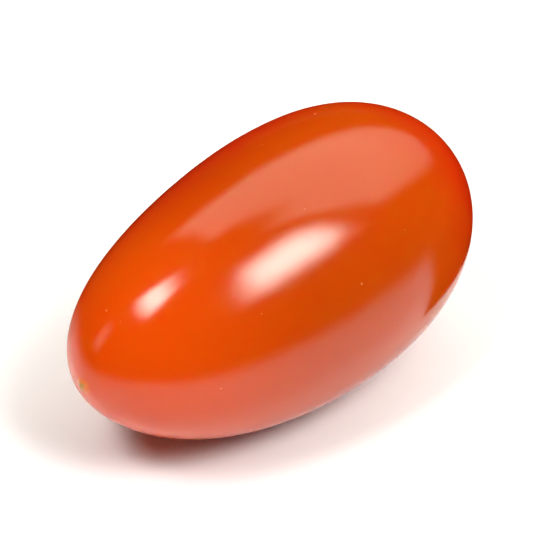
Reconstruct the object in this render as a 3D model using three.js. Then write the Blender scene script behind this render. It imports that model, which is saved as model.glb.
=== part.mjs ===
// A ripe mini plum tomato that lies on its side on a small flat spot.
// Millimetres, +Z up. The long axis runs along X with the stem end at +X,
// and the origin is on the table under the middle of the fruit.

import * as THREE from "three";

// The whole fruit
const LENGTH = 42.4; // stem end to blossom end
const MIDDLE_RADIUS = 11.95; // at mid-length; the widest ring, nearer the stem, is 24 across
const TAPER = 1.135; // over 1 narrows both ends sooner than an ellipse does
const STEM_SHARE = 0.109; // width moved from the blossom half to the stem half
const END_SHARE = 0.155; // width given back to both ends
const BEND = 0.56; // how far the middle is pushed off the straight axis
const BEND_LEAN = 0.76; // how much more of the bend is in the blossom half
const BEND_ANGLE = THREE.MathUtils.degToRad(220); // way of the push, about X from +Y
const LOBES = 3; // soft ridges that run to the blossom end
const LOBE_HEIGHT = 0.16;
const LOBE_ANGLE = THREE.MathUtils.degToRad(90); // first ridge, about X from +Y

// The scar where the stem came off
const BASIN_RADIUS = 3.4; // soft hollow around the scar
const BASIN_DEPTH = 0.4;
const RIM_RADIUS = 1.15; // corky rim inside the hollow
const RIM_WIDTH = 0.36;
const RIM_HEIGHT = 0.16;
const PIT_RADIUS = 0.65; // pit in the middle of the rim
const PIT_DEPTH = 0.5;

// The dry nib that the flower left
const NIB_RADIUS = 0.6;
const NIB_HEIGHT = 0.2;

// How the fruit lies
const LIE_TILT = THREE.MathUtils.degToRad(2.3); // stem end raised until the fruit balances
const FLAT_DEPTH = 0.4; // skin pressed flat by the fruit's weight

// Fineness of the surface
const SEGMENTS = 64; // around the long axis
const RINGS = 52; // along the long axis
const RING_CROWDING = 0.5; // 0 spaces the rings evenly, near 1 crowds them at the ends

// A bump of height 1 at distance 0 that fades over one width
function bump(distance, width) {
  return Math.exp(-((distance / width) ** 2));
}

// Angle of one ring, from 0 at the stem end to PI at the blossom end
function ringAngle(ring) {
  const even = (2 * Math.PI * ring) / RINGS;
  return (even - RING_CROWDING * Math.sin(even)) / 2;
}

// Radius of the straight fruit at a ring angle
function ringRadius(angle) {
  const lean = Math.cos(angle);
  const width = 1 + STEM_SHARE * lean + END_SHARE * lean ** 2;
  return MIDDLE_RADIUS * Math.abs(Math.sin(angle)) ** TAPER * width;
}

// How far the scar or the nib moves the skin along the axis
function endRelief(radius, atStem) {
  if (!atStem) return -NIB_HEIGHT * bump(radius, NIB_RADIUS);
  const basin = -BASIN_DEPTH * bump(radius, BASIN_RADIUS);
  const rim = RIM_HEIGHT * bump(radius - RIM_RADIUS, RIM_WIDTH);
  const pit = -PIT_DEPTH * bump(radius, PIT_RADIUS);
  return basin + rim + pit;
}

// Outline of half the fruit, from the blossom end up to the stem end
function outline() {
  const points = [];
  for (let ring = RINGS; ring >= 0; ring--) {
    const angle = ringAngle(ring);
    const onAxis = ring === 0 || ring === RINGS;
    const radius = onAxis ? 0 : ringRadius(angle);
    const height = (LENGTH / 2) * Math.cos(angle);
    points.push(new THREE.Vector2(radius, height + endRelief(radius, height > 0)));
  }
  return points;
}

// Gives the turned fruit its ridges and its bend
function makeUneven(position) {
  const push = new THREE.Vector3(0, Math.cos(BEND_ANGLE), Math.sin(BEND_ANGLE));
  const point = new THREE.Vector3();
  for (let i = 0; i < position.count; i++) {
    point.fromBufferAttribute(position, i);
    const lean = THREE.MathUtils.clamp(point.x / (LENGTH / 2), -1, 1);
    const middle = 1 - lean ** 2;
    const angle = Math.atan2(point.z, point.y);
    const ridge = LOBE_HEIGHT * middle * (1 - lean) * Math.cos(LOBES * (angle - LOBE_ANGLE));
    point.y += ridge * Math.cos(angle);
    point.z += ridge * Math.sin(angle);
    point.addScaledVector(push, BEND * middle * (1 - BEND_LEAN * lean));
    position.setXYZ(i, point.x, point.y, point.z);
  }
}

// Lowers the fruit onto the table, which presses its underside flat
function pressFlat(geometry) {
  geometry.computeBoundingBox();
  const { min, max } = geometry.boundingBox;
  geometry.translate(-(min.x + max.x) / 2, -(min.y + max.y) / 2, -min.z - FLAT_DEPTH);
  const position = geometry.getAttribute("position");
  for (let i = 0; i < position.count; i++) {
    position.setZ(i, Math.max(position.getZ(i), 0));
  }
}

// The fruit as one solid
function fruitGeometry() {
  const geometry = new THREE.LatheGeometry(outline(), SEGMENTS);
  geometry.rotateZ(-Math.PI / 2);
  makeUneven(geometry.getAttribute("position"));
  geometry.rotateY(-LIE_TILT);
  pressFlat(geometry);
  geometry.computeVertexNormals();
  return geometry;
}

const skin = new THREE.MeshStandardMaterial({
  name: "skin",
  color: 0xe2430c,
  roughness: 0.25,
  metalness: 0,
});

const tomato = new THREE.Mesh(fruitGeometry(), skin);
tomato.name = "tomato";

const part = new THREE.Group();
part.add(tomato);

export default part;
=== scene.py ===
# %% [markdown]
# # A mini plum tomato
#
# This lesson dresses one small plum tomato. The fruit grew as one piece, so there is one mesh
# and one material. The solid from the workshop is loaded first as a fixed frame in metres, and
# everything that follows is set against it.

# %% Load the frame
import math

import bpy
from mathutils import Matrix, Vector


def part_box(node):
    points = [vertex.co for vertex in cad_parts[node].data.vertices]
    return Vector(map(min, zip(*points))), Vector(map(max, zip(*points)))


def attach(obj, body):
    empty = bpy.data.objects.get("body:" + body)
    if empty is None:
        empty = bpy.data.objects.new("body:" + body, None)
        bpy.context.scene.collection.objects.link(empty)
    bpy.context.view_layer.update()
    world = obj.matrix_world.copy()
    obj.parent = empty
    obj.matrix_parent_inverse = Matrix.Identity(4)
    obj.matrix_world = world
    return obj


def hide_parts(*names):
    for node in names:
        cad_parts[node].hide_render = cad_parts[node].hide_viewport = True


MM = 0.001

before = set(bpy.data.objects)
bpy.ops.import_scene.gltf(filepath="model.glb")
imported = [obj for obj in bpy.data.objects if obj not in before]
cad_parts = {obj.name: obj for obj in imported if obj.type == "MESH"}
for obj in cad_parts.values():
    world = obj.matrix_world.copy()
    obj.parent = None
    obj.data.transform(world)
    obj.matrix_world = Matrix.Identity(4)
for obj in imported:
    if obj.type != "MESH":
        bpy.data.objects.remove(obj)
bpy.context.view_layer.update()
fruit_low, fruit_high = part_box("tomato")
fruit_middle = (fruit_low + fruit_high) / 2
print("the solid fruit is", [round(side / MM, 1) for side in fruit_high - fruit_low], "mm")

# %% [markdown]
# ## Writing nodes as sums
#
# The form and the finish of the fruit are both formulas. Placing dozens of Math nodes by hand
# hides the formula, so one small class wraps a socket and lets Python's own signs add the nodes.
# Its `node` method adds any other node: settings first, then the values or wires of its sockets.

# %% A wire that can be added, multiplied and compared


def find_socket(sockets, key):
    """The socket at a place in the list, or with that identifier or name."""
    if isinstance(key, int):
        return sockets[key]
    for socket in sockets:
        if key in (socket.identifier, socket.name):
            return socket
    raise KeyError(key)


class Wire:
    """A socket that gives a value. Sums of wires become Math or Vector Math nodes."""

    def __init__(self, tree, socket=None):
        self.tree = tree
        self.socket = socket

    def node(self, kind, settings=None, inputs=None, output=0):
        """Adds a node to this wire's tree and returns the wire of one of its outputs."""
        made = self.tree.nodes.new(kind)
        for name, value in (settings or {}).items():
            setattr(made, name, value)
        for key, value in (inputs or {}).items():
            into = find_socket(made.inputs, key)
            if isinstance(value, Wire):
                self.tree.links.new(value.socket, into)
            else:
                into.default_value = value
        return Wire(self.tree, find_socket(made.outputs, output) if len(made.outputs) else None)

    def maths(self, operation, *others, first=None):
        """One Math node on this wire, or a Vector Math node where a vector takes part."""
        values = [self, *others] if first is None else [first, self]
        wires = [value for value in values if isinstance(value, Wire)]
        if any(wire.socket.type == "VECTOR" for wire in wires):
            spread = [v if isinstance(v, Wire) else (v, v, v) for v in values]
            return self.node("ShaderNodeVectorMath", {"operation": operation}, dict(enumerate(spread)))
        return self.node("ShaderNodeMath", {"operation": operation}, dict(enumerate(values)))

    def __add__(self, other):
        return self.maths("ADD", other)

    def __radd__(self, other):
        return self.maths("ADD", first=other)

    def __sub__(self, other):
        return self.maths("SUBTRACT", other)

    def __rsub__(self, other):
        return self.maths("SUBTRACT", first=other)

    def __mul__(self, other):
        return self.maths("MULTIPLY", other)

    def __rmul__(self, other):
        return self.maths("MULTIPLY", first=other)

    def __truediv__(self, other):
        return self.maths("DIVIDE", other)

    def __rtruediv__(self, other):
        return self.maths("DIVIDE", first=other)

    def __pow__(self, other):
        return self.maths("POWER", other)

    def __neg__(self):
        return self.maths("MULTIPLY", -1)

    def parts(self):
        """The three numbers of a vector."""
        split = self.node("ShaderNodeSeparateXYZ", inputs={"Vector": self}).socket.node
        return [Wire(self.tree, socket) for socket in split.outputs]


def vector(x, y, z):
    """Three numbers, at least one of them a wire, as one vector."""
    wire = next(value for value in (x, y, z) if isinstance(value, Wire))
    return wire.node("ShaderNodeCombineXYZ", inputs={"X": x, "Y": y, "Z": z})


def hill(distance, width):
    """A hill of height 1 at distance 0 that fades over one width."""
    share = distance / width
    return (-(share * share)).maths("EXPONENT")


def step(value, low, high):
    """Rises smoothly from 0 at low to 1 at high."""
    settings = {"interpolation_type": "SMOOTHSTEP"}
    inputs = {"Value": value, "From Min": low, "From Max": high}
    return value.node("ShaderNodeMapRange", settings, inputs)


def noise(place, size, detail=2.0, seed=0.0):
    """Soft noise from -1 to 1 whose patches are about one size across."""
    inputs = {"Vector": place, "W": seed, "Scale": 1 / size, "Detail": detail}
    return place.node("ShaderNodeTexNoise", {"noise_dimensions": "4D"}, inputs) * 2 - 1


print("the wire class is ready")

# %% [markdown]
# ## The form of the fruit
#
# A plum tomato is an egg turned on its long axis, with a hollow and a corky scar at the stem end,
# a dry nib at the other end, and small faults that keep it from looking turned on a lathe. A
# sphere of rings would crowd its points into slivers at the two ends, just where the scar needs
# clean faces. So Geometry Nodes start from a finely divided cube, which has no poles and no seam,
# and move each point to its place on the egg. The main sizes are those of the solid.

# %% Sizes of the fruit

FRUIT_SIZES = {
    "Length": 42.4 * MM,
    "Middle Radius": 11.95 * MM,
    "Taper": 1.135,
    "Stem Share": 0.109,
    "End Share": 0.155,
    "Bend": 0.56 * MM,
    "Bend Lean": 0.76,
    "Bend Angle": math.radians(220),
    "Lobes": 3.0,
    "Lobe Height": 0.16 * MM,
    "Lobe Angle": math.radians(90),
    "Lie Tilt": math.radians(2.3),
    "Flat Depth": 0.4 * MM,
    "Point Crowding": 0.6,
    "Wave Height": 0.05 * MM,
    "Wave Size": 7.0 * MM,
    "Seed": 3.0,
}

SCAR_SIZES = {
    "Basin Radius": 3.4 * MM,
    "Basin Depth": 0.4 * MM,
    "Rim Radius": 1.15 * MM,
    "Rim Width": 0.36 * MM,
    "Rim Height": 0.16 * MM,
    "Rim Raggedness": 0.22 * MM,
    "Crack Depth": 0.10 * MM,
    "Pit Radius": 0.65 * MM,
    "Pit Depth": 0.5 * MM,
    "Crumb Radius": 0.22 * MM,
    "Crumb Height": 0.34 * MM,
}

NIB_SIZES = {
    "Nib Radius": 0.6 * MM,
    "Nib Height": 0.2 * MM,
}

POINTS_ALONG_EDGE = 121

# The scar's cracks and ragged edges are noise over the turn about the axis and the distance from it
SCAR_STRETCH = 3 * MM
RAGGED_SIZE = 0.45
CRACK_SIZE = 0.12
CRACK_WIDTH = 0.16
CRACK_REACH = 1.6
PIT_RAGGEDNESS = 0.5

# %% [markdown]
# The tree works in three moves. The first puts the cube's points on the straight fruit and stores
# their places under the name `straight`, which the skin's colours use later. The second adds the
# ridges, the waves and the bend. The last lowers the fruit onto the table, which presses a small
# spot of its underside flat.

# %% The straight fruit


def polar_place(start):
    """Angle from the stem end and angle about the long axis of each point of the cube."""
    place = start.node("GeometryNodeInputPosition")
    even = (place * (math.pi / 4)).maths("TANGENT")
    x, y, z = even.parts()
    across = (y * y + z * z).maths("SQRT")
    return across.maths("ARCTAN2", x), z.maths("ARCTAN2", y)


def scar_relief(size, radius, angle):
    """How far the scar moves the skin at the stem end along the axis."""
    around = vector(angle.maths("COSINE"), angle.maths("SINE"), radius / SCAR_STRETCH)
    ragged = noise(around, RAGGED_SIZE, seed=size["Seed"]) * size["Rim Raggedness"]
    basin = hill(radius, size["Basin Radius"]) * size["Basin Depth"]
    rim_distance = radius - size["Rim Radius"] + ragged
    rim = hill(rim_distance, size["Rim Width"]) * size["Rim Height"]
    pit = hill(radius + ragged * PIT_RAGGEDNESS, size["Pit Radius"]) * size["Pit Depth"]
    crack_lines = hill(noise(around, CRACK_SIZE, detail=1.0, seed=size["Seed"]), CRACK_WIDTH)
    cracks = crack_lines * hill(rim_distance, size["Rim Width"] * CRACK_REACH) * size["Crack Depth"]
    side = radius * angle.maths("COSINE") - size["Crumb Radius"]
    rise = radius * angle.maths("SINE")
    crumb_distance = (side * side + rise * rise).maths("SQRT")
    crumb = hill(crumb_distance, size["Crumb Radius"]) * size["Crumb Height"]
    return rim + crumb - basin - pit - cracks


def straight_skin(start, size):
    """The place of each point on the straight fruit, with both ends finished."""
    even, angle = polar_place(start)
    polar = even - (even * 2).maths("SINE") * size["Point Crowding"] / 2
    lean = polar.maths("COSINE")
    width = 1 + size["Stem Share"] * lean + size["End Share"] * lean * lean
    radius = size["Middle Radius"] * polar.maths("SINE").maths("MAXIMUM", 0) ** size["Taper"] * width
    at_stem = lean.maths("GREATER_THAN", 0)
    nib = hill(radius, size["Nib Radius"]) * size["Nib Height"]
    relief = at_stem * scar_relief(size, radius, angle) - (1 - at_stem) * nib
    along = size["Length"] / 2 * lean + relief
    return vector(along, radius * angle.maths("COSINE"), radius * angle.maths("SINE"))


# %% The bend and the flat spot


def grown_skin(start, size):
    """The straight fruit with its ridges, its waves and its bend."""
    place = start.node("GeometryNodeInputPosition")
    x, y, z = place.parts()
    lean = (x / (size["Length"] / 2)).maths("MAXIMUM", -1).maths("MINIMUM", 1)
    middle = 1 - lean * lean
    angle = z.maths("ARCTAN2", y)
    ridge = size["Lobe Height"] * middle * (1 - lean)
    ridge = ridge * ((angle - size["Lobe Angle"]) * size["Lobes"]).maths("COSINE")
    wave = noise(place, FRUIT_SIZES["Wave Size"], seed=size["Seed"]) * size["Wave Height"] * middle
    out = ridge + wave
    push = size["Bend"] * middle * (1 - size["Bend Lean"] * lean)
    side = y + out * angle.maths("COSINE") + push * size["Bend Angle"].maths("COSINE")
    rise = z + out * angle.maths("SINE") + push * size["Bend Angle"].maths("SINE")
    tilt = {"Vector": vector(x, side, rise), "Angle": -size["Lie Tilt"]}
    return start.node("ShaderNodeVectorRotate", {"rotation_type": "Y_AXIS"}, tilt)


def lowered(start, size, skin):
    """How far the fruit moves to lie over the origin, sunk by the depth of its flat spot."""
    box = start.node("GeometryNodeBoundBox", inputs={"Geometry": skin}, output="Min").socket.node
    low = Wire(start.tree, box.outputs["Min"])
    high = Wire(start.tree, box.outputs["Max"])
    middle_x, middle_y, _ = ((low + high) * 0.5).parts()
    _, _, bottom = low.parts()
    return vector(-middle_x, -middle_y, -bottom - size["Flat Depth"])


def moved(skin, place=None, offset=None):
    """The skin with its points at a new place, or shifted."""
    inputs = {"Geometry": skin}
    if place is not None:
        inputs["Position"] = place
    if offset is not None:
        inputs["Offset"] = offset
    return skin.node("GeometryNodeSetPosition", inputs=inputs)


# %% The whole tree


def fruit_tree(sizes):
    """The node tree of the fruit and the identifier of each of its named inputs."""
    tree = bpy.data.node_groups.new("tomato_form", "GeometryNodeTree")
    tree.interface.new_socket("Geometry", in_out="OUTPUT", socket_type="NodeSocketGeometry")
    named = {name: "NodeSocketFloat" for name in sizes}
    named["Skin"] = "NodeSocketMaterial"
    keys = {}
    for name, kind in named.items():
        keys[name] = tree.interface.new_socket(name, in_out="INPUT", socket_type=kind).identifier
    start = Wire(tree)
    given = start.node("NodeGroupInput").socket.node
    size = {name: Wire(tree, given.outputs[name]) for name in named}

    edge = {f"Vertices {axis}": POINTS_ALONG_EDGE for axis in "XYZ"}
    cube = start.node("GeometryNodeMeshCube", inputs={"Size": (2, 2, 2), **edge}, output="Mesh")
    skin = moved(cube, place=straight_skin(start, size))
    keep = {"Geometry": skin, "Name": "straight", "Value": start.node("GeometryNodeInputPosition")}
    skin = start.node("GeometryNodeStoreNamedAttribute", {"data_type": "FLOAT_VECTOR"}, keep)
    skin = moved(skin, place=grown_skin(start, size))
    skin = moved(skin, offset=lowered(start, size, skin))
    x, y, z = start.node("GeometryNodeInputPosition").parts()
    skin = moved(skin, place=vector(x, y, z.maths("MAXIMUM", 0)))
    skin = start.node("GeometryNodeSetShadeSmooth", inputs={"Geometry": skin})
    skin = start.node("GeometryNodeRealizeInstances", inputs={"Geometry": skin})
    skin = start.node("GeometryNodeSetMaterial", inputs={"Geometry": skin, "Material": size["Skin"]})
    start.node("NodeGroupOutput", inputs={"Geometry": skin})
    return tree, keys


print("the tree takes", len(FRUIT_SIZES) + len(SCAR_SIZES) + len(NIB_SIZES), "named sizes")

# %% [markdown]
# ## The skin
#
# A tomato's skin is thin, glossy and a little see-through: red light wanders some millimetres through
# the flesh before it comes back out, so shaded parts stay a deep warm red. The shader's scattering
# does the wandering, and the colours below are those of the flesh, apart from a painted shade on one side
# and a painted light at the tip. All formulas start from the place on the straight fruit, so that the
# colours stay with the scar and the tip.

# %% Colours of the skin

FLESH_ORANGE = (0.450, 0.055, 0.0006, 1)
# Painted light: the tip's lighter orange stands in for light falling on the tip
PAINTED_LIGHT_TIP_ORANGE = (0.650, 0.069, 0.0008, 1)
# Deep red serves the random patches, the stem end and the painted shade on the +Y side
DEEP_RED = (0.470, 0.016, 0.0006, 1)
HALO_YELLOW = (0.700, 0.210, 0.010, 1)
CORK_TAN = (0.520, 0.280, 0.100, 1)
PIT_BROWN = (0.085, 0.030, 0.010, 1)
CRUMB_CREAM = (0.480, 0.300, 0.110, 1)
SPECK_PEACH = (0.800, 0.330, 0.150, 1)
NIB_OLIVE = (0.420, 0.210, 0.035, 1)

# Each noise in the skin has its own seed
PATCH_SEED = 1.0
STREAK_SEED = 2.0
RAGGED_SEED = 4.0
FIBRE_SEED = 5.0
GLOSS_SEED = 6.0
GRAIN_SEED = 7.0
PEEL_SEED = 8.0


def blend(share, first, second):
    """A colour between two colours."""
    inputs = {"Factor_Float": share, "A_Color": first, "B_Color": second}
    return share.node("ShaderNodeMix", {"data_type": "RGBA"}, inputs, output="Result_Color")


print("the skin has its colours")

# %% [markdown]
# The red isn't even. On this fruit it is deeper around the stem end. The side towards +Y, away from the
# camera, is painted a deeper red as painted shade, and the tip is painted a lighter orange as painted
# light.
# Soft patches keep the change from looking sprayed on. `lean` runs from -1 at the tip to 1 at the stem
# end.

# %% Redder parts, painted shade and painted light

PATCH_SIZE = 9 * MM
PATCH_SHARE = 0.30
STREAK_SIZE = 3 * MM
STREAK_SHARE = 0.08
# Redder towards the stem end
STEM_RED_LEAN = (0.45, 1.0)
# Painted shade: over this range the side towards +Y turns a deeper red
PAINTED_SHADE_SIDE = (0.05, 0.85)
STEM_AND_SHADE_RED_SHARE = 0.9
RED_RANGE = (-0.10, 0.95)
# Painted light: over this range the tip turns a lighter orange
PAINTED_LIGHT_TIP_LEAN = (0.05, 0.95)


def flesh_colour(place, lean):
    """The colour of the flesh: redder at the stem end, with painted shade on the +Y side and painted light
    at the tip.
    """
    _, y, _ = place.parts()
    patches = noise(place, PATCH_SIZE, seed=PATCH_SEED)
    streaks = noise(place, STREAK_SIZE, seed=STREAK_SEED)
    # Painted shade: the side towards +Y, away from the camera, is made a deeper red
    painted_shade_side = step(y / FRUIT_SIZES["Middle Radius"], *PAINTED_SHADE_SIDE)
    stem_red_and_painted_shade = (step(lean, *STEM_RED_LEAN) + painted_shade_side).maths("MINIMUM", 1) * STEM_AND_SHADE_RED_SHARE
    red = step(stem_red_and_painted_shade + patches * PATCH_SHARE + streaks * STREAK_SHARE, *RED_RANGE)
    colour = blend(red, FLESH_ORANGE, DEEP_RED)
    # Painted light: the tip is blended towards a lighter orange
    return blend(step(-lean, *PAINTED_LIGHT_TIP_LEAN), colour, PAINTED_LIGHT_TIP_ORANGE)


# %% [markdown]
# A few pale specks lie scattered in the skin. A Voronoi pattern gives each one a cell of its own, and
# the cell's random colour decides how large and how pale the speck is.

# %% Specks

SPECK_SPACING = 2.4 * MM
SPECK_CORE = 0.02
SPECK_EDGE = 0.04
SPECK_EDGE_LUCK = 0.05
SPECK_SHARE = 0.15
SPECK_SHARE_LUCK = 0.5


def pale_specks(place):
    """Where the specks are, and how pale each one is."""
    cells = {"Vector": place, "Scale": 1 / SPECK_SPACING}
    distance = place.node("ShaderNodeTexVoronoi", inputs=cells, output="Distance")
    luck, _, _ = place.node("ShaderNodeTexVoronoi", inputs=cells, output="Color").parts()
    specks = 1 - step(distance, SPECK_CORE, SPECK_EDGE + luck * SPECK_EDGE_LUCK)
    return specks, specks * (SPECK_SHARE + luck * SPECK_SHARE_LUCK)


# %% [markdown]
# Where the stem came off, rings of colour lie in each other: a yellow glow, a brighter halo, tan cork
# and a brown pit with a crumb of dried stem in it. The tip has a small halo and an olive nib. Noise on
# the distance makes all the rings ragged. Each pair of radii says where a ring starts to fade and where
# it ends.

# %% Rings around the scar and the tip

GLOW_RADII = (1.4 * MM, 4.2 * MM)
GLOW_SHARE = 0.35
HALO_RADII = (1.2 * MM, 2.0 * MM)
CORK_RADII = (1.0 * MM, 1.45 * MM)
CORK_SHARE = 0.5
FIBRE_SIZE = 0.3 * MM
FIBRE_SHARE = 0.6
PIT_RADII = (0.30 * MM, 0.80 * MM)
CRUMB_RADII = (0.10 * MM, 0.30 * MM)
CRUMB_FRAY = 0.2 * MM
CRUMB_SHARE = 0.8
TIP_HALO_RADII = (0.4 * MM, 1.1 * MM)
TIP_HALO_SHARE = 0.7
NIB_RADII = (0.2 * MM, 0.45 * MM)


def disc(distance, radii):
    """1 in the middle, fading to 0 between two radii."""
    return 1 - step(distance, *radii)


def scar_colour(colour, place, at_stem, distance):
    """The colour with the scar's rings laid over it, and where the cork is."""
    cork = at_stem * disc(distance, CORK_RADII)
    fibres = noise(place, FIBRE_SIZE, seed=FIBRE_SEED)
    colour = blend(at_stem * disc(distance, GLOW_RADII) * GLOW_SHARE, colour, HALO_YELLOW)
    colour = blend(at_stem * disc(distance, HALO_RADII), colour, HALO_YELLOW)
    colour = blend(cork * (CORK_SHARE + fibres * FIBRE_SHARE), colour, CORK_TAN)
    colour = blend(at_stem * disc(distance, PIT_RADII), colour, PIT_BROWN)
    _, y, z = place.parts()
    side = y - SCAR_SIZES["Crumb Radius"]
    crumb_distance = (side * side + z * z).maths("SQRT") + fibres * CRUMB_FRAY
    crumb = at_stem * disc(crumb_distance, CRUMB_RADII)
    return blend(crumb * CRUMB_SHARE, colour, CRUMB_CREAM), cork


def tip_colour(colour, at_tip, distance):
    """The colour with the tip's halo and nib laid over it, and where the nib is."""
    nib = at_tip * disc(distance, NIB_RADII)
    colour = blend(at_tip * disc(distance, TIP_HALO_RADII) * TIP_HALO_SHARE, colour, HALO_YELLOW)
    return blend(nib, colour, NIB_OLIVE), nib


# %% [markdown]
# The gloss changes a little from place to place, and the cork and the nib are dry. A very low bump
# stands for the grain of the skin, its faint peel and the raised specks. Mirrored lamps would look
# painted on without it.

# %% The finished skin

END_LEAN = (0.6, 0.8)
RING_NOISE_SIZE = 0.7 * MM
RING_NOISE_REACH = 0.40 * MM
GLOSS_ROUGHNESS = 0.13
GLOSS_CHANGE = 0.02
GLOSS_SIZE = 1.5 * MM
DRY_ROUGHNESS = 0.5
GRAIN_SIZE = 0.22 * MM
GRAIN_SHARE = 0.15
PEEL_SIZE = 1.1 * MM
PEEL_SHARE = 0.5
BUMP_STRENGTH = 0.2
BUMP_DISTANCE = 0.02 * MM
SKIN_IOR = 1.5
SCATTER_WEIGHT = 0.9
SCATTER_RADIUS = (1.0, 0.20, 0.06)
SCATTER_SCALE = 5 * MM


def empty_material(name):
    """A new material without nodes, and a wire to start its tree from."""
    material = bpy.data.materials.new(name)
    material.use_nodes = True
    material.node_tree.nodes.clear()
    return material, Wire(material.node_tree)


def skin_relief(place, specks):
    """The normal of the skin with its grain, its peel and its specks."""
    grain = noise(place, GRAIN_SIZE, detail=1.0, seed=GRAIN_SEED)
    peel = noise(place, PEEL_SIZE, detail=1.0, seed=PEEL_SEED)
    height = grain * GRAIN_SHARE + peel * PEEL_SHARE + specks
    relief = {"Strength": BUMP_STRENGTH, "Distance": BUMP_DISTANCE, "Height": height}
    return place.node("ShaderNodeBump", inputs=relief)


def skin_material():
    """The glossy skin, with its scar, its nib and its specks."""
    material, start = empty_material("tomato_skin")
    place = start.node("ShaderNodeAttribute", {"attribute_name": "straight"}, output="Vector")
    x, y, z = place.parts()
    lean = x / (FRUIT_SIZES["Length"] / 2)
    ragged = noise(place, RING_NOISE_SIZE, detail=4.0, seed=RAGGED_SEED) * RING_NOISE_REACH
    distance = (y * y + z * z).maths("SQRT") + ragged

    specks, paleness = pale_specks(place)
    colour = blend(paleness, flesh_colour(place, lean), SPECK_PEACH)
    colour, cork = scar_colour(colour, place, step(lean, *END_LEAN), distance)
    colour, nib = tip_colour(colour, step(-lean, *END_LEAN), distance)

    gloss = GLOSS_ROUGHNESS + noise(place, GLOSS_SIZE, seed=GLOSS_SEED) * GLOSS_CHANGE
    dry = (cork + nib).maths("MINIMUM", 1)
    finish = {
        "Base Color": colour,
        "Roughness": gloss + dry * DRY_ROUGHNESS,
        "Normal": skin_relief(place, specks),
        "IOR": SKIN_IOR,
        "Subsurface Weight": SCATTER_WEIGHT,
        "Subsurface Radius": SCATTER_RADIUS,
        "Subsurface Scale": SCATTER_SCALE,
    }
    skin = start.node("ShaderNodeBsdfPrincipled", inputs=finish)
    start.node("ShaderNodeOutputMaterial", inputs={"Surface": skin})
    return material


print("the skin can be made")

# %% [markdown]
# ## Growing the fruit
#
# The modifier's inputs are set by identifier before the object is first evaluated. The result is
# then copied to a plain mesh, which takes the place of the solid.

# %% The finished fruit


def grow_fruit():
    """The fruit as one plain mesh."""
    sizes = {**FRUIT_SIZES, **SCAR_SIZES, **NIB_SIZES}
    tree, keys = fruit_tree(sizes)
    seed_mesh = bpy.data.meshes.new("tomato_seed")
    grower = bpy.data.objects.new("tomato_grower", seed_mesh)
    bpy.context.collection.objects.link(grower)
    modifier = grower.modifiers.new("tomato_form", "NODES")
    modifier.node_group = tree
    for name, value in sizes.items():
        modifier[keys[name]] = value
    modifier[keys["Skin"]] = skin_material()
    grown = grower.evaluated_get(bpy.context.evaluated_depsgraph_get())
    mesh = bpy.data.meshes.new_from_object(grown)
    mesh.name = "tomato_fruit"
    bpy.data.objects.remove(grower)
    fruit = bpy.data.objects.new("tomato_fruit", mesh)
    bpy.context.collection.objects.link(fruit)
    return fruit


fruit = grow_fruit()
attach(fruit, "root")
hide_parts("tomato")
print("the fruit has", len(fruit.data.polygons), "faces and", len(fruit.data.materials), "material")

# %% [markdown]
# ## The table
#
# The fruit lies on plain white. One wide sheet stands for the table, a hair under the fruit so that
# the two never share a plane. Its white leans to blue, because warm lamps would turn a neutral one
# cream.

# %% The table

FLOOR_SIDE = 6.0
FLOOR_GAP = 0.01 * MM
FLOOR_WHITE = (0.86, 0.87, 0.96, 1)
FLOOR_ROUGHNESS = 0.9
FLOOR_SHINE = 0.1


def white_table():
    """A wide, plain, matt white table just under the fruit."""
    half = FLOOR_SIDE / 2
    corners = [(-half, -half), (half, -half), (half, half), (-half, half)]
    mesh = bpy.data.meshes.new("white_table")
    mesh.from_pydata([(x, y, fruit_low.z - FLOOR_GAP) for x, y in corners], [], [(0, 1, 2, 3)])
    material = bpy.data.materials.new("matt_white")
    material.use_nodes = True
    paint = material.node_tree.nodes["Principled BSDF"]
    paint.inputs["Base Color"].default_value = FLOOR_WHITE
    paint.inputs["Roughness"].default_value = FLOOR_ROUGHNESS
    paint.inputs["Specular IOR Level"].default_value = FLOOR_SHINE
    mesh.materials.append(material)
    table = bpy.data.objects.new("white_table", mesh)
    bpy.context.collection.objects.link(table)


white_table()
print("the table is", FLOOR_SIDE, "m wide")

# %% [markdown]
# A low view looks past the table into the dark room, where a studio would hang a white sheet. This
# one is a round wall that glows evenly and that only the camera sees, so it changes neither the
# light on the fruit nor what the skin mirrors.

# %% The backdrop

BACKDROP_WHITE = (1, 1, 1, 1)
BACKDROP_RADIUS = 2.9
BACKDROP_HEIGHT = 3.0
BACKDROP_STEPS = 64


def ring_faces(steps):
    """The faces of a closed ring whose points come in pairs."""
    faces = []
    for i in range(steps):
        j = (i + 1) % steps
        faces.append((2 * i, 2 * i + 1, 2 * j + 1, 2 * j))
    return faces


def white_backdrop():
    """A round white wall that only the camera sees."""
    points = []
    for i in range(BACKDROP_STEPS):
        turn = 2 * math.pi * i / BACKDROP_STEPS
        x, y = BACKDROP_RADIUS * math.cos(turn), BACKDROP_RADIUS * math.sin(turn)
        points.extend([(x, y, fruit_low.z - FLOOR_GAP), (x, y, BACKDROP_HEIGHT)])
    mesh = bpy.data.meshes.new("white_backdrop")
    mesh.from_pydata(points, [], ring_faces(BACKDROP_STEPS))
    material, start = empty_material("lit_white")
    glow = start.node("ShaderNodeEmission", inputs={"Color": BACKDROP_WHITE, "Strength": 1.0})
    start.node("ShaderNodeOutputMaterial", inputs={"Surface": glow})
    mesh.materials.append(material)
    backdrop = bpy.data.objects.new("white_backdrop", mesh)
    bpy.context.collection.objects.link(backdrop)
    backdrop.visible_diffuse = False
    backdrop.visible_glossy = False
    backdrop.visible_transmission = False
    backdrop.visible_shadow = False


white_backdrop()
print("the backdrop stands", BACKDROP_RADIUS, "m away")

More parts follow.
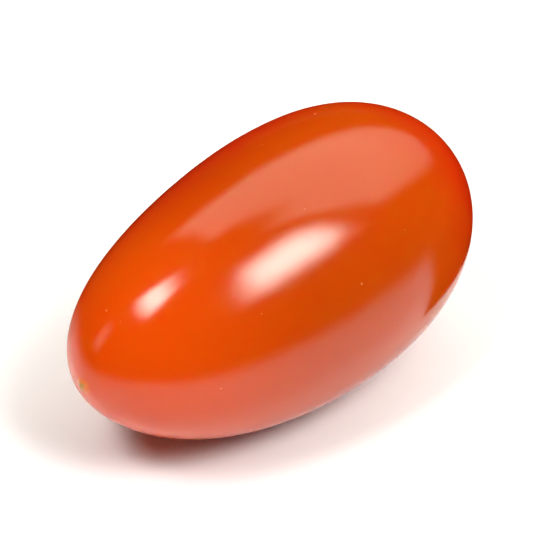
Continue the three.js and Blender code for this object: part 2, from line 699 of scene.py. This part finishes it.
# %% [markdown]
# ## The camera
#
# The picture looks down on the fruit at about 41 degrees, from the side of its tip. A long lens from
# far away keeps both ends at nearly the same scale. The aim is a touch right of and over the middle of the
# fruit, which leaves even margins.

# %% The camera

VIEW_AZIMUTH = -41.2
VIEW_ELEVATION = 41.0
VIEW_DISTANCE = 0.8
VIEW_WIDTH = 47.3 * MM
SENSOR_WIDTH = 36.0
CLIP_START = 0.01
AIM_RIGHT = 0.2 * MM
AIM_UP = 0.45 * MM


def towards(azimuth, elevation):
    """The direction from the fruit to a place, with azimuth 0 at -Y and 90 at +X."""
    a, e = math.radians(azimuth), math.radians(elevation)
    return Vector((math.sin(a) * math.cos(e), -math.cos(a) * math.cos(e), math.sin(e)))


def photo_camera():
    """A long lens at the photograph's viewing angle."""
    back = towards(VIEW_AZIMUTH, VIEW_ELEVATION)
    right = towards(VIEW_AZIMUTH + 90, 0)
    up = back.cross(right)
    aim = fruit_middle + right * AIM_RIGHT + up * AIM_UP
    lens = bpy.data.cameras.new("photo_camera")
    lens.sensor_width = SENSOR_WIDTH
    lens.lens = SENSOR_WIDTH * VIEW_DISTANCE / VIEW_WIDTH
    lens.clip_start = CLIP_START
    camera = bpy.data.objects.new("photo_camera", lens)
    bpy.context.collection.objects.link(camera)
    camera.location = aim + back * VIEW_DISTANCE
    camera.rotation_euler = (aim - camera.location).to_track_quat("-Z", "Y").to_euler()
    bpy.context.scene.camera = camera
    return camera


camera = photo_camera()
print("the lens is", round(camera.data.lens), "mm long")

# %% [markdown]
# ## The studio in the gloss
#
# Most of what the eye reads as a wet, tight skin is the room mirrored in it. The room is painted on
# the world as a formula of the direction: almost black, with two softboxes with soft edges, a wide
# pale panel behind the fruit and a narrow pale one at its side. Directions are given from the
# camera's side: `turn` is 0 straight behind the fruit and grows to the right, `rise` is the height
# over the table, both in degrees.

# %% The room and its lamps

LAMP_TINT = (1.0, 0.970, 0.870, 1)
PANEL_TINT = (1.0, 0.980, 0.780, 1)
ROOM_DARK = 0.006
KEY_BOX = {"turn": (105, 141), "rise": (41.5, 63), "soft": 9, "radiance": 20}
SIDE_BOX = {"turn": (-139, -95), "rise": (54, 70), "soft": 7, "radiance": 19}
SIDE_STRIP = {"turn": (-105, -91), "rise": (10, 30), "soft": 4, "radiance": 1.3}
PANEL_TURN = (-38, 86)
PANEL_TOP = 75
PANEL_FOOT = 41
PANEL_DIP = 40
PANEL_DIP_DEPTH = 33
PANEL_DIP_WIDTH = 30
PANEL_SOFT = 4
PANEL_SOFT_RISE = 6
PANEL_RADIANCE = 2.35
PANEL_FOOT_SHARE = 0.55
PANEL_FOOT_RISE = (15, 45)


def window(value, low, high, soft):
    """1 between two limits and 0 outside them, with soft edges."""
    return step(value, low - soft, low + soft) * (1 - step(value, high - soft, high + soft))


def along(way, direction):
    """How much of a way goes in a direction."""
    inputs = {0: way, 1: direction}
    return way.node("ShaderNodeVectorMath", {"operation": "DOT_PRODUCT"}, inputs, output="Value")


def turn_of(way):
    """The angle of a way from straight behind the fruit, growing to the right."""
    right = along(way, towards(VIEW_AZIMUTH + 90, 0))
    behind = along(way, towards(VIEW_AZIMUTH + 180, 0))
    return right.maths("ARCTAN2", behind).maths("DEGREES")


def lamp(turn, rise, facts):
    """The light of one soft-edged box in the room."""
    across = window(turn, *facts["turn"], facts["soft"])
    return across * window(rise, *facts["rise"], facts["soft"]) * facts["radiance"]


def back_panel(turn, rise):
    """The light of the wide pale panel, whose foot dips on the right."""
    foot = PANEL_FOOT - PANEL_DIP_DEPTH * hill(turn - PANEL_DIP, PANEL_DIP_WIDTH)
    shape = window(turn, *PANEL_TURN, PANEL_SOFT) * window(rise, foot, PANEL_TOP, PANEL_SOFT_RISE)
    glow = PANEL_FOOT_SHARE + (1 - PANEL_FOOT_SHARE) * step(rise, *PANEL_FOOT_RISE)
    return shape * glow * PANEL_RADIANCE


def studio_room():
    """The world around the fruit."""
    room = bpy.data.worlds.new("studio_room")
    room.use_nodes = True
    room.node_tree.nodes.clear()
    start = Wire(room.node_tree)
    way = start.node("ShaderNodeTexCoord", output="Generated")
    turn = turn_of(way)
    _, _, up = way.parts()
    rise = up.maths("ARCSINE").maths("DEGREES")
    light = ROOM_DARK + lamp(turn, rise, KEY_BOX) + lamp(turn, rise, SIDE_BOX)
    light = light + lamp(turn, rise, SIDE_STRIP)
    lamps = start.node("ShaderNodeBackground", inputs={"Color": LAMP_TINT, "Strength": light})
    panel_light = back_panel(turn, rise)
    panel = start.node("ShaderNodeBackground", inputs={"Color": PANEL_TINT, "Strength": panel_light})
    both = start.node("ShaderNodeAddShader", inputs={0: lamps, 1: panel})
    start.node("ShaderNodeOutputWorld", inputs={"Surface": both})
    bpy.context.scene.world = room
    return room


room = studio_room()
bpy.context.scene.view_settings.view_transform = "Standard"
print("the room's formula has", len(room.node_tree.nodes), "nodes")

# %% [markdown]
# ## Dark cards around the fruit
#
# A lone glossy fruit on white mirrors the white table all round its rim, which makes the rim look
# milky. A photographer stands dark cards around it, out of the picture. Here a low dark red card
# curves around the back and goes on as a sheet behind it, and dark felt fades in on the table further
# out. Both are seen in the gloss alone: they throw no shadow and no camera sees them.

# %% How the cards are made

CARD_COLOUR = (0.20, 0.012, 0.004, 1)
CARD_GAP = 5 * MM
CARD_HEIGHT = 14 * MM
CARD_LIFT = 0.1 * MM
CARD_TURNS = (-95, 91)
CARD_FADES = (40, 5)
CARD_STEPS = 40
FELT_COLOUR = (0.012, 0.010, 0.010, 1)
FELT_INNER = 28 * MM
FELT_OUTER = 2.5
FELT_FADE = (0.05, 0.26)
FELT_STEPS = 64


def unseen_card(name, points, faces, material):
    """A piece of the stage that only reflections see."""
    mesh = bpy.data.meshes.new(name)
    mesh.from_pydata(points, [], faces)
    mesh.materials.append(material)
    card = bpy.data.objects.new(name, mesh)
    bpy.context.collection.objects.link(card)
    card.visible_camera = False
    card.visible_diffuse = False
    card.visible_transmission = False
    card.visible_shadow = False
    return card


def faded_paint(name, colour, cover_at):
    """A matt paint that covers as much as a formula of the place says."""
    material, start = empty_material(name)
    cover = cover_at(start.node("ShaderNodeTexCoord", output="Object"))
    clear = start.node("ShaderNodeBsdfTransparent")
    paint = start.node("ShaderNodeBsdfDiffuse", inputs={"Color": colour})
    mixed = start.node("ShaderNodeMixShader", inputs={0: cover, 1: clear, 2: paint})
    start.node("ShaderNodeOutputMaterial", inputs={"Surface": mixed})
    return material


def card_cover(place):
    """Full cover that fades out at the card's two ends."""
    turn = turn_of(place)
    left, right = CARD_TURNS
    left_fade, right_fade = CARD_FADES
    return step(turn, left, left + left_fade) * (1 - step(turn, right - right_fade, right))


def felt_cover(place):
    """Cover that fades in with the distance from the fruit."""
    x, y, _ = place.parts()
    slope = fruit_middle.z / (x * x + y * y).maths("SQRT")
    return 1 - step(slope, *FELT_FADE)


# %% The two cards


def back_card():
    """A low card that curves around the back of the fruit, with a sheet behind it."""
    lift = Vector((0, 0, CARD_LIFT))
    top = Vector((0, 0, CARD_HEIGHT))
    reach_x = fruit_high.x + CARD_GAP
    reach_y = fruit_high.y + CARD_GAP
    points = []
    faces = []
    for i in range(CARD_STEPS + 1):
        turn = CARD_TURNS[0] + (CARD_TURNS[1] - CARD_TURNS[0]) * i / CARD_STEPS
        way = towards(VIEW_AZIMUTH + 180 - turn, 0)
        foot = way / math.hypot(way.x / reach_x, way.y / reach_y)
        points.extend([way * FELT_OUTER + lift, foot + lift, foot + top])
        if i < CARD_STEPS:
            a = 3 * i
            faces.extend([(a, a + 3, a + 4, a + 1), (a + 1, a + 4, a + 5, a + 2)])
    paint = faded_paint("dark_red_card", CARD_COLOUR, card_cover)
    return unseen_card("back_card", points, faces, paint)


def table_felt():
    """A wide ring of felt just over the table."""
    points = []
    for i in range(FELT_STEPS):
        way = towards(360 * i / FELT_STEPS, 0)
        points.extend([way * FELT_INNER, way * FELT_OUTER])
    paint = faded_paint("fading_felt", FELT_COLOUR, felt_cover)
    return unseen_card("table_felt", points, ring_faces(FELT_STEPS), paint)


cards = [back_card(), table_felt()]
print("the gloss sees", len(cards), "dark cards")
